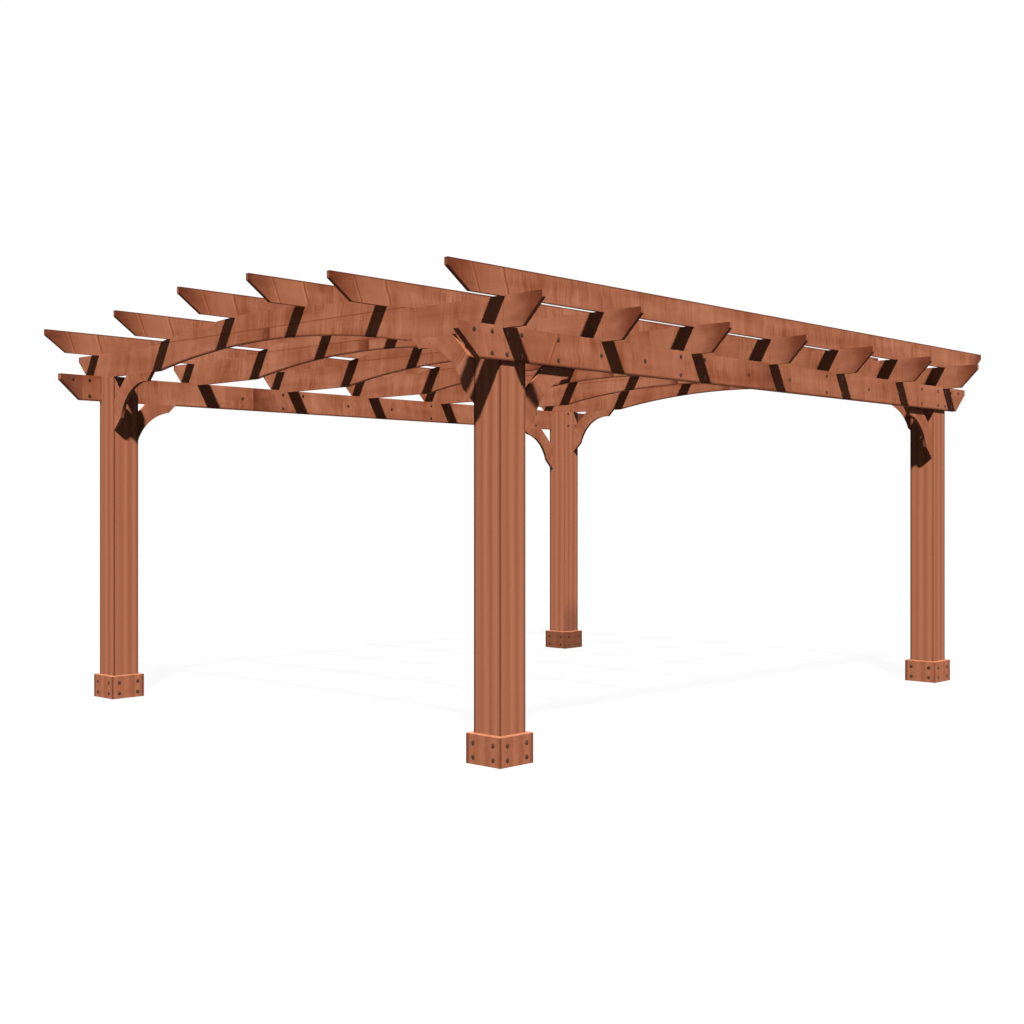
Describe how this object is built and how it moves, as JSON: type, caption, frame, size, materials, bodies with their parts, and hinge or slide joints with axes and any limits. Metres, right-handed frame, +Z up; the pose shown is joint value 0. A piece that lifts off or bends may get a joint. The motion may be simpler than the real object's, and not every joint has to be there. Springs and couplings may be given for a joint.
{
  "type": "arched timber pergola",
  "caption": "Open garden pergola with square posts on collars, twin headers, arched rafters, crosswise purlins and curved corner braces.",
  "frame": {"origin": "on the ground under the middle of the roof, 81.5 mm right of the middle of the four posts", "axes": "+Z up, X along the headers and purlins, Y along the arched rafters"},
  "size_m": [6.237, 4.742, 2.8082],
  "materials": {
    "post_timber": "stained cedar, satin",
    "frame_timber": "stained cedar, satin"
  },
  "bodies": {
    "root": {"post_front_left": "post_timber", "collar_front_left": "post_timber", "header_brace_front_left": "frame_timber", "rafter_brace_front_left": "frame_timber", "post_front_right": "post_timber", "collar_front_right": "post_timber", "header_brace_front_right": "frame_timber", "rafter_brace_front_right": "frame_timber", "post_back_left": "post_timber", "collar_back_left": "post_timber", "header_brace_back_left": "frame_timber", "rafter_brace_back_left": "frame_timber", "post_back_right": "post_timber", "collar_back_right": "post_timber", "header_brace_back_right": "frame_timber", "rafter_brace_back_right": "frame_timber", "header_front": "frame_timber", "header_back": "frame_timber", "rafter_1": "frame_timber", "rafter_2": "frame_timber", "rafter_3": "frame_timber", "rafter_4": "frame_timber", "rafter_5": "frame_timber", "rafter_6": "frame_timber", "rafter_7": "frame_timber", "purlin_1": "frame_timber", "purlin_2": "frame_timber", "purlin_3": "frame_timber", "purlin_4": "frame_timber", "purlin_5": "frame_timber", "purlin_6": "frame_timber"}
  },
  "joints": []
}
